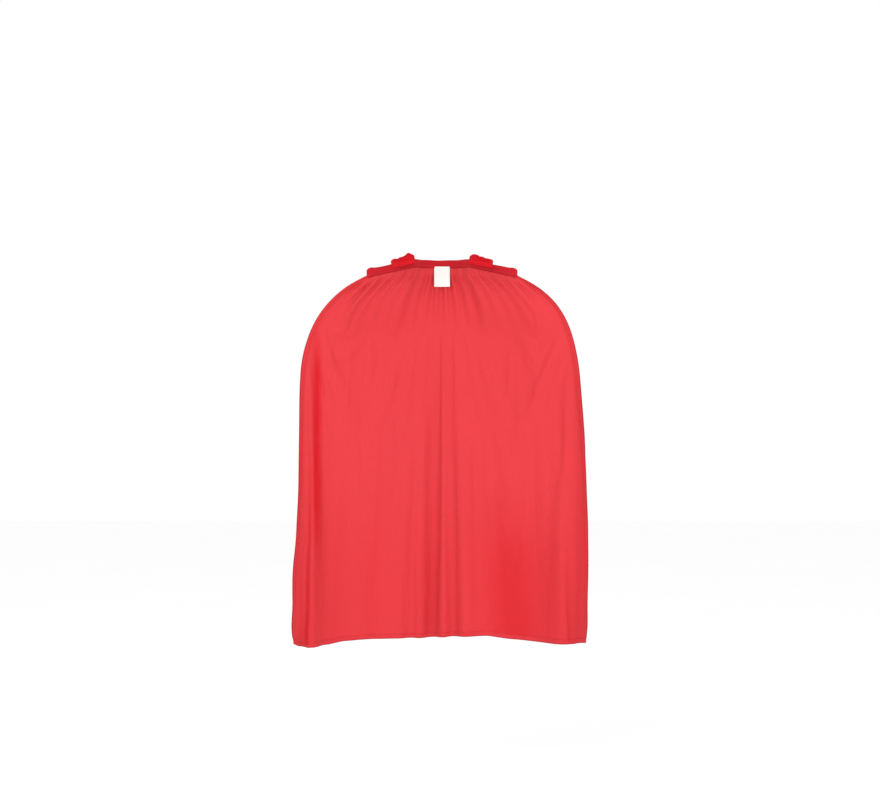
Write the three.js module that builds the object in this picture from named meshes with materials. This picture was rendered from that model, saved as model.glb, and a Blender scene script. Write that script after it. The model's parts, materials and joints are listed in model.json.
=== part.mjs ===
// A child's superhero cape, hanging as it does on a wearer who stands with hands on hips.
// Millimetres. +Z is up, the wearer faces -Y, and +X is the wearer's left.
// The origin is the middle of the neck opening, level with the top of the shoulders.
// Every cloth piece is a thin closed solid, laid on one of a few smooth surfaces.

import * as THREE from 'three';

// ---------- driving sizes ----------

// the neck and shoulders
const NECK_HALF_WIDTH = 46;         // half the gap that the neck fills
const NECK_DEPTH = 40;              // how far the back neckline lies behind the shoulder seam
const SHOULDER_HALF_WIDTH = 132;    // middle of the neck to the end of the shoulder seam
const SHOULDER_SLOPE_DEG = 12;      // fall of the shoulder seam from the neck outwards

// the hanging panel
const CAPE_LENGTH = 670;            // top of the shoulders to the hem
const ELBOW_HALF_WIDTH = 238;       // half width where the cape passes the elbows
const HEM_HALF_WIDTH = 256;         // half width at the hem
const ARM_FALL = 50;                // drop over which the side edge runs out along the arm
const BACK_FALL = 170;              // drop over which the neckline shape melts into the back
const BACK_Y_TOP = 82;              // how far behind the shoulders the middle lies, high up
const BACK_Y_HEM = 122;             // the same at the hem
const EDGE_Y_TOP = 34;              // the side edge's place, high up, behind the arm
const EDGE_Y_HEM = -14;             // the same at the hem
const BACK_ROUNDNESS = 2.8;         // 2 is a plain arc, more is a squarer back
const CLOTH = 1.2;                  // thickness that stands in for the thin polyester

// the soft folds: place across (-1 to 1), half width and depth
const FOLDS = [
  { across: -0.86, spread: 0.050, depth: -13 },
  { across: -0.62, spread: 0.085, depth: 10 },
  { across: -0.34, spread: 0.070, depth: -9 },
  { across: -0.08, spread: 0.080, depth: 8 },
  { across: 0.20, spread: 0.080, depth: -9 },
  { across: 0.48, spread: 0.090, depth: 11 },
  { across: 0.78, spread: 0.075, depth: -12 },
];
const FOLD_START = 0.10;            // share of the length where the folds begin
const FOLD_FULL = 0.75;             // share of the length where they reach full depth

// the turned hems and their thread
const HEM_WIDTH = 8;
const HEM_THICKNESS = 1.0;
const THREAD = 0.6;
const HEM_STITCH_INSET = 1.6;       // thread to the hem's raw edge

// the binding along the neck and shoulder seam
const BINDING_HEIGHT = 10;
const BINDING_THICKNESS = 3.0;

// the shoulder tabs
const TAB_WIDTH = 42;
const TAB_FLAT_LENGTH = 30;         // the stiffened stretch in front of the crest
const TAB_CREST_RADIUS = 40;
const TAB_FRONT_TILT_DEG = 18;      // forward lean of the stiffened stretch
const TAB_BACK_WRAP_DEG = 30;       // how far the tab curls down behind the crest
const TAB_CREST_Y = -6;             // where the flat stretch begins
const TAB_CLOTH = 1.2;
const TAB_INTERFACING = 0.8;
const TAB_LINING = 1.0;
const HOOK_TAPE_THICKNESS = 1.6;
const HOOK_TAPE_WIDTH = 34;
const HOOK_TAPE_LENGTH = 24;
const HOOK_TAPE_CORNER = 2;
const TAB_STITCH_INSET = 3.5;

// the blank care label
const LABEL_WIDTH = 28;
const LABEL_LENGTH = 36;
const LABEL_THICKNESS = 0.5;

// clearances
const LAYER_GAP = 0.4;              // between two layers of cloth
const THREAD_GAP = 0.3;             // between a thread and what it is sewn on
const SEAM_GAP = 1.0;               // between the binding and the panel that swings under it
const TAB_SEAM_GAP = 0.3;           // between a tab's back edge and the binding
const NECK_CLEARANCE = 2;           // between the neck opening and a tab's inner edge

// how finely the surfaces are cut up
const PANEL_COLUMNS = 48;
const PANEL_ROWS = 32;
const ROW_CROWDING = 1.4;           // above 1, the rows lie closer together near the shoulders
const SIDE_HEM_COLUMNS = 4;
const TAB_COLUMNS = 8;
const TAB_ROWS = 14;

// ---------- worked out from them ----------

const RAD = Math.PI / 180;
const shoulderSlope = Math.tan(SHOULDER_SLOPE_DEG * RAD);
const frontTilt = TAB_FRONT_TILT_DEG * RAD;
const backWrap = TAB_BACK_WRAP_DEG * RAD;
const tabCentreY = TAB_CREST_Y + TAB_CREST_RADIUS * Math.sin(frontTilt);
const tabCentreZ = -TAB_CREST_RADIUS;
const tabBackY = tabCentreY + TAB_CREST_RADIUS * Math.sin(backWrap);
const tabBackZ = tabCentreZ + TAB_CREST_RADIUS * Math.cos(backWrap);
const tabArcLength = TAB_CREST_RADIUS * (backWrap + frontTilt);
const tabLength = tabArcLength + TAB_FLAT_LENGTH;
const tabMiddleX = NECK_HALF_WIDTH + NECK_CLEARANCE + TAB_WIDTH / 2;
const shoulderSeamY = tabBackY + TAB_SEAM_GAP + BINDING_THICKNESS / 2;
const seamZ = tabBackZ - BINDING_HEIGHT - SEAM_GAP;
const hemInset = CLOTH / 2 + LAYER_GAP;
const hemFace = hemInset + HEM_THICKNESS;

// ---------- surfaces ----------

const mix = (a, b, t) => a + (b - a) * t;

function smooth(low, high, value) {
  const t = Math.min(1, Math.max(0, (value - low) / (high - low)));
  return t * t * (3 - 2 * t);
}

// The seam that the panel hangs from, at a distance x from the middle.
function seamPoint(x) {
  const share = Math.min(1, Math.abs(x) / NECK_HALF_WIDTH);
  const bow = Math.pow(1 - share * share, 0.75);
  const run = Math.max(0, Math.abs(x) - NECK_HALF_WIDTH);
  return new THREE.Vector3(x, shoulderSeamY + NECK_DEPTH * bow, seamZ - shoulderSlope * run);
}

const sideSeamZ = seamPoint(SHOULDER_HALF_WIDTH).z;

// Half the panel's width at height z: out along the arm, then slowly wider to the hem.
function halfWidth(z) {
  const drop = Math.max(0, sideSeamZ - z);
  const arm = (ELBOW_HALF_WIDTH - SHOULDER_HALF_WIDTH) * (1 - Math.exp(-drop / ARM_FALL));
  const flare = (HEM_HALF_WIDTH - ELBOW_HALF_WIDTH) * (drop / (CAPE_LENGTH + sideSeamZ));
  return SHOULDER_HALF_WIDTH + arm + flare;
}

function foldDepth(across, down) {
  const strength = smooth(FOLD_START, FOLD_FULL, down);
  let depth = 0;
  for (const fold of FOLDS) {
    const offset = (across - fold.across) / fold.spread;
    depth += fold.depth * Math.exp(-offset * offset);
  }
  return depth * strength;
}

// The panel: across runs -1 to 1 from the wearer's right edge to the left, down runs 0 to 1.
function panelPoint(across, down) {
  const top = seamPoint(across * SHOULDER_HALF_WIDTH);
  const z = mix(top.z, -CAPE_LENGTH, down);
  const x = across * halfWidth(z);
  const backY = mix(BACK_Y_TOP, BACK_Y_HEM, down);
  const edgeY = mix(EDGE_Y_TOP, EDGE_Y_HEM, down);
  const wrapped = edgeY + (backY - edgeY) * (1 - Math.pow(Math.abs(across), BACK_ROUNDNESS));
  const y = mix(top.y, wrapped, smooth(0, BACK_FALL, top.z - z));
  return new THREE.Vector3(x, y + foldDepth(across, down), z);
}

// A tab's outer cloth, in the tab's own frame: share runs 0 to 1 from its back edge to its front.
function tabPoint(x, share) {
  const along = share * tabLength;
  if (along < tabArcLength) {
    const angle = backWrap - along / TAB_CREST_RADIUS;
    const y = tabCentreY + TAB_CREST_RADIUS * Math.sin(angle);
    return new THREE.Vector3(x, y, tabCentreZ + TAB_CREST_RADIUS * Math.cos(angle));
  }
  const past = along - tabArcLength;
  const y = TAB_CREST_Y - past * Math.cos(frontTilt);
  const z = tabCentreZ + TAB_CREST_RADIUS * Math.cos(frontTilt) - past * Math.sin(frontTilt);
  return new THREE.Vector3(x, y, z);
}

// ---------- solids ----------

// A closed sheet on the surface pointAt(u, v), with u and v from 0 to 1. It fills the space
// from `low` to `high` along the surface's normal, which is the u direction crossed with v.
function sheetSolid(pointAt, columns, rows, low, high) {
  const step = 1e-4;
  const positions = [];
  for (const offset of [low, high]) {
    for (let row = 0; row <= rows; row += 1) {
      for (let column = 0; column <= columns; column += 1) {
        const u = column / columns;
        const v = row / rows;
        const u0 = Math.max(0, u - step);
        const v0 = Math.max(0, v - step);
        const alongU = pointAt(Math.min(1, u + step), v).sub(pointAt(u0, v));
        const alongV = pointAt(u, Math.min(1, v + step)).sub(pointAt(u, v0));
        const normal = alongU.cross(alongV).normalize();
        positions.push(...pointAt(u, v).addScaledVector(normal, offset).toArray());
      }
    }
  }
  const layerSize = (columns + 1) * (rows + 1);
  const near = (column, row) => row * (columns + 1) + column;
  const far = (column, row) => layerSize + near(column, row);
  const faces = [];
  const quad = (a, b, c, d) => faces.push(a, b, c, a, c, d);
  for (let row = 0; row < rows; row += 1) {
    for (let column = 0; column < columns; column += 1) {
      const right = column + 1;
      const next = row + 1;
      quad(far(column, row), far(right, row), far(right, next), far(column, next));
      quad(near(column, row), near(column, next), near(right, next), near(right, row));
    }
  }
  for (let column = 0; column < columns; column += 1) {
    const right = column + 1;
    quad(near(column, 0), near(right, 0), far(right, 0), far(column, 0));
    quad(near(right, rows), near(column, rows), far(column, rows), far(right, rows));
  }
  for (let row = 0; row < rows; row += 1) {
    const next = row + 1;
    quad(near(0, next), near(0, row), far(0, row), far(0, next));
    quad(near(columns, row), near(columns, next), far(columns, next), far(columns, row));
  }
  const geometry = new THREE.BufferGeometry();
  geometry.setAttribute('position', new THREE.Float32BufferAttribute(positions, 3));
  geometry.setIndex(faces);
  geometry.computeVertexNormals();
  return geometry;
}

function roundedRectangle(width, length, corner) {
  const shape = new THREE.Shape();
  const x = width / 2;
  const y = length / 2;
  shape.moveTo(-x + corner, -y);
  shape.lineTo(x - corner, -y);
  shape.absarc(x - corner, -y + corner, corner, -Math.PI / 2, 0);
  shape.lineTo(x, y - corner);
  shape.absarc(x - corner, y - corner, corner, 0, Math.PI / 2);
  shape.lineTo(-x + corner, y);
  shape.absarc(-x + corner, y - corner, corner, Math.PI / 2, Math.PI);
  shape.lineTo(-x, -y + corner);
  shape.absarc(-x + corner, -y + corner, corner, Math.PI, 1.5 * Math.PI);
  return shape;
}

const plate = (shape, depth) =>
  new THREE.ExtrudeGeometry(shape, { depth, bevelEnabled: false, curveSegments: 4 });

// ---------- materials ----------

const finish = (color, roughness) =>
  new THREE.MeshStandardMaterial({ color, roughness, metalness: 0 });

const polyester = finish(0xe8303f, 0.55);
const doubledCloth = finish(0xc2202f, 0.6);
const bindingTape = finish(0xa81828, 0.65);
const liningCloth = finish(0xb01c2c, 0.7);
const interfacingFelt = finish(0xe9e6df, 0.95);
const hookTapeNylon = finish(0x8f1a26, 0.8);
const sewingThread = finish(0x9c1424, 0.5);
const labelSatin = finish(0xf3f1ec, 0.45);

// ---------- the cape ----------

const cape = new THREE.Group();

function add(parent, name, geometry, material) {
  const mesh = new THREE.Mesh(geometry, material);
  mesh.name = name;
  parent.add(mesh);
  return mesh;
}

const acrossOf = (u) => 2 * u - 1;
const downOf = (v) => Math.pow(1 - v, ROW_CROWDING);

// the panel's normal points forward, to the wearer's back

function addPanel() {
  const pointAt = (u, v) => panelPoint(acrossOf(u), downOf(v));
  const geometry = sheetSolid(pointAt, PANEL_COLUMNS, PANEL_ROWS, -CLOTH / 2, CLOTH / 2);
  add(cape, 'cape_panel', geometry, polyester);
}

// A strip along the bottom edge, from `start` to `end` millimetres above it.
function bottomStrip(start, end, low, high) {
  const pointAt = (u, v) => {
    const length = CAPE_LENGTH + seamPoint(acrossOf(u) * SHOULDER_HALF_WIDTH).z;
    return panelPoint(acrossOf(u), 1 - mix(start, end, v) / length);
  };
  return sheetSolid(pointAt, PANEL_COLUMNS, 1, low, high);
}

// A strip along one side edge, from `start` to `end` millimetres in from it. It ends above
// the bottom hem, and begins a little under the seam.
function sideStrip(side, start, end, columns, low, high) {
  const length = CAPE_LENGTH + sideSeamZ;
  const lastDown = 1 - (HEM_WIDTH + LAYER_GAP) / length;
  const pointAt = (u, v) => {
    const down = lastDown * downOf(v);
    const inset = side > 0 ? mix(end, start, u) : mix(start, end, u);
    const across = side * (1 - inset / halfWidth(mix(sideSeamZ, -CAPE_LENGTH, down)));
    return panelPoint(across, down);
  };
  return sheetSolid(pointAt, columns, PANEL_ROWS, low, high);
}

function addHems() {
  const threadLow = hemFace + THREAD_GAP;
  const threadHigh = threadLow + THREAD;
  const threadStart = HEM_WIDTH - HEM_STITCH_INSET - THREAD;
  const threadEnd = HEM_WIDTH - HEM_STITCH_INSET;
  add(cape, 'bottom_hem', bottomStrip(0, HEM_WIDTH, hemInset, hemFace), doubledCloth);
  const bottomThread = bottomStrip(threadStart, threadEnd, threadLow, threadHigh);
  add(cape, 'bottom_hem_stitching', bottomThread, sewingThread);
  for (const [name, side] of [['left', 1], ['right', -1]]) {
    const hem = sideStrip(side, 0, HEM_WIDTH, SIDE_HEM_COLUMNS, hemInset, hemFace);
    add(cape, `${name}_side_hem`, hem, doubledCloth);
    const thread = sideStrip(side, threadStart, threadEnd, 1, threadLow, threadHigh);
    add(cape, `${name}_side_hem_stitching`, thread, sewingThread);
  }
}

// A strip along the seam, from `start` to `end` millimetres above the panel's top edge.
function seamStrip(start, end, low, high) {
  const pointAt = (u, v) => {
    const point = seamPoint(acrossOf(u) * SHOULDER_HALF_WIDTH);
    point.z += mix(start, end, v);
    return point;
  };
  return sheetSolid(pointAt, PANEL_COLUMNS, 1, low, high);
}

function addBinding() {
  const half = BINDING_THICKNESS / 2;
  const top = SEAM_GAP + BINDING_HEIGHT;
  add(cape, 'neck_binding', seamStrip(SEAM_GAP, top, -half, half), bindingTape);
  const threadStart = SEAM_GAP + HEM_STITCH_INSET;
  const behind = -half - THREAD_GAP;
  const thread = seamStrip(threadStart, threadStart + THREAD, behind - THREAD, behind);
  add(cape, 'neck_binding_stitching', thread, sewingThread);
}

function addLabel() {
  const middleLength = CAPE_LENGTH + seamZ;
  const pointAt = (u, v) => {
    const across = ((u - 0.5) * LABEL_WIDTH) / SHOULDER_HALF_WIDTH;
    return panelPoint(across, ((1 - v) * LABEL_LENGTH) / middleLength);
  };
  const low = CLOTH / 2 + LAYER_GAP;
  const label = sheetSolid(pointAt, 4, 4, low, low + LABEL_THICKNESS);
  add(cape, 'care_label', label, labelSatin);
}

// Layers of one tab, from the outside in; each is `thickness` thick and lies under the last.
function addTab(name, side) {
  const tab = new THREE.Group();
  const slopeRun = tabMiddleX - NECK_HALF_WIDTH;
  tab.position.set(side * tabMiddleX, 0, -shoulderSlope * slopeRun);
  tab.rotation.y = side * SHOULDER_SLOPE_DEG * RAD;
  cape.add(tab);

  const pointAt = (u, v) => tabPoint((u - 0.5) * TAB_WIDTH, 1 - v);
  const layer = (low, high) => sheetSolid(pointAt, TAB_COLUMNS, TAB_ROWS, low, high);
  let under = TAB_CLOTH / 2;
  add(tab, `${name}_shoulder_tab`, layer(-under, under), polyester);
  const layers = [
    [`${name}_tab_interfacing`, TAB_INTERFACING, interfacingFelt],
    [`${name}_tab_lining`, TAB_LINING, liningCloth],
  ];
  for (const [layerName, thickness, material] of layers) {
    under += LAYER_GAP + thickness;
    add(tab, layerName, layer(-under, -under + thickness), material);
  }

  const flat = new THREE.Group();
  const middle = tabPoint(0, (tabArcLength + TAB_FLAT_LENGTH / 2) / tabLength);
  flat.position.copy(middle);
  flat.rotation.x = frontTilt;
  tab.add(flat);
  const tapeShape = roundedRectangle(HOOK_TAPE_WIDTH, HOOK_TAPE_LENGTH, HOOK_TAPE_CORNER);
  const tape = add(flat, `${name}_hook_tape`, plate(tapeShape, HOOK_TAPE_THICKNESS), hookTapeNylon);
  tape.position.z = -(under + LAYER_GAP + HOOK_TAPE_THICKNESS);

  const ringWidth = TAB_WIDTH - 2 * TAB_STITCH_INSET;
  const ringLength = TAB_FLAT_LENGTH - 2 * TAB_STITCH_INSET;
  const ring = roundedRectangle(ringWidth, ringLength, HOOK_TAPE_CORNER);
  const inside = roundedRectangle(
    ringWidth - 2 * THREAD, ringLength - 2 * THREAD, HOOK_TAPE_CORNER - THREAD);
  ring.holes.push(inside);
  const stitching = add(flat, `${name}_tab_stitching`, plate(ring, THREAD), sewingThread);
  stitching.position.z = TAB_CLOTH / 2 + THREAD_GAP;
}

addPanel();
addHems();
addBinding();
addLabel();
addTab('left', 1);
addTab('right', -1);

export default cape;
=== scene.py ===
"""A child's superhero cape, with its cloth, hems, bound neckline and shoulder fastenings.

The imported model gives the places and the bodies. This file makes what shows: the cloth is cut
flat, gathered into the neckline and left to hang, and the hems, tapes, threads and label are
then sewn onto the hung cloth. Metres, +Z up. The wearer faces -Y, and +X is their left.
"""

import json
import math

import bpy
import numpy as np
from bpy.props import FloatProperty, FloatVectorProperty, IntProperty, PointerProperty
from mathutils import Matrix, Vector, noise


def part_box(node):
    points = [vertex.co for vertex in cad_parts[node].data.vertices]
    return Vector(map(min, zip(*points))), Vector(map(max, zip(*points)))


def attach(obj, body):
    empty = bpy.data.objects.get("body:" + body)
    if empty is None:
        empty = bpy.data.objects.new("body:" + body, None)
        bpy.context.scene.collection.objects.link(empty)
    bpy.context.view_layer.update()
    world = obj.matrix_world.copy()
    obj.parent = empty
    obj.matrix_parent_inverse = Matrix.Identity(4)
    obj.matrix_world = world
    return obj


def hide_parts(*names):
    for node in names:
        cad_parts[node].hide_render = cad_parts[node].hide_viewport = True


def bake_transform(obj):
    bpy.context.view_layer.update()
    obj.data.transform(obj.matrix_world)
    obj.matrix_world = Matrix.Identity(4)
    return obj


bl_info = {
    "name": "Superhero cape",
    "version": (1, 0, 0),
    "blender": (4, 5, 0),
    "location": "3D View > Sidebar > Cape",
    "description": "Cuts, hangs and sews a child's costume cape",
    "category": "Add Mesh",
}

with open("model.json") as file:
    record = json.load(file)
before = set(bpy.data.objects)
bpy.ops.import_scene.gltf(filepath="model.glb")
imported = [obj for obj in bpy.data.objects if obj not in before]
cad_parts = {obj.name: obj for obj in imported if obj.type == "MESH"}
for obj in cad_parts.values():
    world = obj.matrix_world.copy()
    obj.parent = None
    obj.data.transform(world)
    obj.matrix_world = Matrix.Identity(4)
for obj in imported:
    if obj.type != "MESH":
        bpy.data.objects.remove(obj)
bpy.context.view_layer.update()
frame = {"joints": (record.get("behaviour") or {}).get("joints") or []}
JOINTS = {joint["name"]: joint for joint in frame["joints"]}

YOKE = "neck_yoke"
MM = 0.001

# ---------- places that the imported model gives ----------

PANEL_LOW, PANEL_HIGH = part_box("cape_panel")
BINDING_LOW, BINDING_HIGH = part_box("neck_binding")
SWING = JOINTS["cape_swing"]
TAB_AXIS = JOINTS["left_tab_peel"]["axis"]

SHOULDER_HALF_WIDTH = BINDING_HIGH.x
HEM_HALF_WIDTH = PANEL_HIGH.x
HEM_Z = PANEL_LOW.z
SEAM_Z = SWING["pos_m"][2]
BINDING_HALF_THICKNESS = 1.5 * MM
SHOULDER_SEAM_Y = BINDING_LOW.y + BINDING_HALF_THICKNESS
NECK_DEPTH = SWING["pos_m"][1] - SHOULDER_SEAM_Y
SHOULDER_SLOPE = abs(TAB_AXIS[2] / TAB_AXIS[0])
NECK_HALF_WIDTH = 46 * MM
SEAM_ROUNDING = 4.5 * MM
SEAM_ROUNDING_STEPS = 9
NECK_BLUNTNESS = 0.75
THREAD_RADIUS = 0.22 * MM

# ---------- the cut and the drape ----------

COLUMNS = 132
ROWS = 94
ROW_CROWDING = 1.15
ELBOW_HALF_WIDTH = 238 * MM
ARM_FALL = 50 * MM
BACK_FALL = 170 * MM
BACK_Y = (82 * MM, 118 * MM)
EDGE_Y = (34 * MM, -12 * MM)
BACK_ROUNDNESS = 2.8
FOLD_RANGE = (0.10, 0.45)
FOLD_UNIT = 12 * MM
DEEPEST_WAVE = 30 * MM
SEAM_WAVE = 0.9 * MM
SEAM_WAVE_FALL = 0.09

# the narrow pleat on the wearer's right: the columns crowd round its place across, it is pressed in
# at its own x, it starts, is full, begins to fade and ends at the four heights, and its lap shade
# says how deep the painted shade lies where the cloth laps over itself there
PLEAT_ACROSS = -0.893
PLEAT_CROWDING = 1.3
PLEAT_CROWDING_WIDTH = 0.07
PLEAT_X = -219 * MM
PLEAT_HALF_WIDTH = 7 * MM
PLEAT_DEPTH = 3 * MM
PLEAT_HEIGHTS = (-0.10, -0.22, -0.42, -0.60)
PLEAT_LAP_SHADE = 0.95

# how the gathers wander from even spacing: size, rate and start of each wave
GATHER_WANDER = ((1.2, 3.7, 0.5), (0.7, 8.3, 0.0))

# how firmly the wearer's arms and shoulder blades hold the cloth, over which part of its width,
# and the heights at which they let go of it
ARM_HOLD = 0.6
ARM_ACROSS = (0.90, 0.98)
ARM_END = (-215 * MM, -180 * MM)
BACK_HOLD = 0.30
BACK_ACROSS = (0.80, 0.50)
BACK_END = (-190 * MM, -110 * MM)

# each soft fold: place across from -1 to 1, half width in the same measure, and depth in metres
FOLDS = (
    (-0.86, 0.050, -0.013),
    (-0.62, 0.085, 0.010),
    (-0.34, 0.070, -0.009),
    (-0.08, 0.080, 0.008),
    (0.20, 0.080, -0.009),
    (0.48, 0.090, 0.011),
    (0.78, 0.075, -0.012),
)

# narrow ripples, measured as the folds are: place across, half width, depth, how far across they
# slant as they fall, and the heights they run between
RIPPLES = (
    (-0.830, 0.020, -0.0020, 0.02, -0.10, -0.62),
    (-0.770, 0.022, 0.0016, 0.01, -0.16, -0.66),
    (-0.690, 0.018, -0.0013, 0.03, -0.08, -0.56),
    (-0.600, 0.030, 0.0018, -0.02, -0.20, -0.70),
    (-0.480, 0.024, -0.0016, 0.04, -0.28, -0.70),
    (-0.330, 0.030, 0.0014, 0.02, -0.05, -0.48),
    (-0.150, 0.035, -0.0017, -0.03, -0.22, -0.70),
    (0.060, 0.030, 0.0013, 0.03, -0.06, -0.52),
    (0.240, 0.036, 0.0016, -0.05, -0.30, -0.70),
    (0.470, 0.100, -0.0050, -0.05, -0.36, -0.70),
    (0.560, 0.030, 0.0014, 0.05, -0.08, -0.40),
    (0.700, 0.034, -0.0016, -0.03, -0.14, -0.60),
    (0.850, 0.028, 0.0018, 0.02, -0.12, -0.66),
)

# how far each side edge hangs outside its even line, by height
EDGE_WAVES = {
    -1: ((-0.08, 0.0), (-0.13, 0.0045), (-0.18, 0.0082), (-0.234, 0.0069), (-0.304, 0.0044),
         (-0.39, 0.0023), (-0.45, 0.002), (-0.50, 0.0025), (-0.545, 0.006), (-0.58, 0.0055),
         (-0.615, 0.004), (-0.642, 0.007), (-0.66, 0.0055), (-0.68, 0.0015)),
    1: ((-0.16, 0.0), (-0.32, 0.0025), (-0.46, 0.0005), (-0.54, -0.0025), (-0.60, -0.0067),
        (-0.64, -0.008), (-0.68, -0.011)),
}

# how far the hem hangs below its even line, across from -1 to 1
HEM_WAVES = ((-1.0, 0.004), (-0.96, 0.0095), (-0.88, 0.013), (-0.80, 0.0115), (-0.74, 0.0105),
             (-0.68, 0.0062), (-0.60, 0.004), (-0.50, 0.0032), (-0.10, 0.004), (0.10, 0.002),
             (0.35, -0.001), (0.50, 0.003), (0.62, 0.0065), (0.74, 0.0085), (0.86, 0.0085),
             (0.95, 0.004), (1.0, 0.002))

# a ripple fades in and out over these shares of its length
RIPPLE_FADES = (0.25, 0.35)

# painted shade where the cloth laps over itself: beside each ripple, as far as the ripple is deep,
# and, between two limits, over the lower cloth, darker lower down, by height and by place across
RIPPLE_LAP_SHADE = 0.5
RIPPLE_LAP_SHADE_SPREAD = 1.5
RIPPLE_LAP_SHADE_DEPTH = -0.005
LOW_SHADE = (0.12, 0.60)
LOW_SHADE_HEIGHTS = (-0.38, -0.58)
LOW_SHADE_ACROSS = (-0.96, -0.90)

# the hem's waves start at this height, and its free corners turn forward and in
HEM_WAVE_TOP = -0.50
CORNER_ACROSS = (0.93, 1.0)
CORNER_TOP = -0.615
CORNER_FORWARD = 1.5 * MM
CORNER_IN = 2 * MM

# an edge wave is evened out over these steps of height, and dies away from the edge by this power
EDGE_WAVE_EASING = (-0.014, 0.0, 0.014)
EDGE_WAVE_POWER = 6

# the small creases, which fade in below the seam
CREASE_HEIGHT = 1.6 * MM
CREASE_FADE = 15 * MM

drapes = {}


class CapeSizes(bpy.types.PropertyGroup):
    """Sizes that a maker would change"""

    neck_cut_width: FloatProperty(
        name="Top cut width",
        description="Flat width of the cloth before it is gathered into the neckline",
        default=0.44,
        unit="LENGTH",
    )
    hem_cut_width: FloatProperty(
        name="Hem cut width",
        description="Flat width of the cloth at the hem",
        default=0.66,
        unit="LENGTH",
    )
    cloth_thickness: FloatProperty(
        name="Cloth thickness",
        description="Thickness of one layer of the cloth",
        default=0.0004,
        unit="LENGTH",
    )
    hem_width: FloatProperty(
        name="Hem width",
        description="Width of the turned edge",
        default=0.008,
        unit="LENGTH",
    )
    gather_count: IntProperty(
        name="Gathers",
        description="Number of gathers along the whole neckline",
        default=19,
        min=2,
    )
    hang_frames: IntProperty(
        name="Hanging time",
        description="How many frames the cloth is left to hang",
        default=36,
        min=2,
    )


class CapeColours(bpy.types.PropertyGroup):
    """Colours of the cape's cloths and trims"""

    cloth: FloatVectorProperty(
        name="Cloth",
        description="The cape's polyester",
        subtype="COLOR",
        default=(0.765, 0.059, 0.070),
        min=0,
        max=1,
    )
    # painted shade: the cloth's colour deepened where it laps over itself in the pleat and beside the
    # ripples, and over the lower cloth
    lap_shade: FloatVectorProperty(
        name="Lapped cloth",
        description="The same cloth where it lies over itself in a fold",
        subtype="COLOR",
        default=(0.71, 0.012, 0.021),
        min=0,
        max=1,
    )
    doubled: FloatVectorProperty(
        name="Doubled cloth",
        description="The same cloth where it is turned double",
        subtype="COLOR",
        default=(0.68, 0.013, 0.022),
        min=0,
        max=1,
    )
    tape: FloatVectorProperty(
        name="Binding tape",
        description="The tape round the neckline",
        subtype="COLOR",
        default=(0.46, 0.006, 0.014),
        min=0,
        max=1,
    )
    thread: FloatVectorProperty(
        name="Thread",
        description="The sewing thread",
        subtype="COLOR",
        default=(0.50, 0.008, 0.018),
        min=0,
        max=1,
    )


# ---------- small helpers ----------


def smooth(low, high, value):
    share = np.clip((np.asarray(value, float) - low) / (high - low), 0, 1)
    return share * share * (3 - 2 * share)


def mix(a, b, share):
    return a + (b - a) * share


# ---------- the cape's surface before it hangs ----------


def seam_point(x):
    """The seam that the cloth hangs from, at distances x from the middle: y and z.

    The corners where the neck meets the shoulders are rounded a little, as sewn tape is."""
    x = np.asarray(x, float)
    y = 0.0
    for offset in np.linspace(-1, 1, SEAM_ROUNDING_STEPS) * SEAM_ROUNDING:
        share = np.minimum(1, np.abs(x + offset) / NECK_HALF_WIDTH)
        scoop = (1 - share * share) ** NECK_BLUNTNESS
        y = y + (SHOULDER_SEAM_Y + NECK_DEPTH * scoop) / SEAM_ROUNDING_STEPS
    run = np.maximum(0, np.abs(x) - NECK_HALF_WIDTH)
    return y, SEAM_Z - SHOULDER_SLOPE * run


def half_width(z):
    """Half the cape's hanging width at height z: the shoulders, the elbows, then the hem."""
    side_z = float(seam_point(SHOULDER_HALF_WIDTH)[1])
    drop = np.maximum(0, side_z - z)
    arm = (ELBOW_HALF_WIDTH - SHOULDER_HALF_WIDTH) * (1 - np.exp(-drop / ARM_FALL))
    flare = (HEM_HALF_WIDTH - ELBOW_HALF_WIDTH) * drop / (side_z - HEM_Z)
    return SHOULDER_HALF_WIDTH + arm + flare


def columns_across():
    """Places of the columns from -1 to 1, closer together round the narrow pleat."""
    fine = np.linspace(-1, 1, 2001)
    from_pleat = (fine - PLEAT_ACROSS) / PLEAT_CROWDING_WIDTH
    density = 1 + PLEAT_CROWDING * np.exp(-(from_pleat**2))
    count = np.hstack([0, (0.5 * (density[1:] + density[:-1])).cumsum()])
    return np.interp(np.linspace(0, count[-1], COLUMNS + 1), count, fine)


def fullness(across, down, sizes):
    """The gathers and the folds they open into, as a wave whose depth isn't set yet."""
    phase = math.pi * sizes.gather_count * across
    for size, rate, start in GATHER_WANDER:
        phase = phase + size * np.sin(rate * across + start)
    gathers = np.cos(phase) * (0.8 + 0.25 * np.sin(5.3 * across + 1.0))
    folds = np.zeros_like(across)
    for place, spread, depth in FOLDS:
        folds = folds + depth / FOLD_UNIT * np.exp(-(((across - place) / spread) ** 2))
    return mix(gathers, folds, smooth(*FOLD_RANGE, down))


def widths(points):
    """Width of the cloth along each row of a grid."""
    return np.linalg.norm(np.diff(points, axis=1), axis=-1).sum(axis=1)[:, None]


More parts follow.
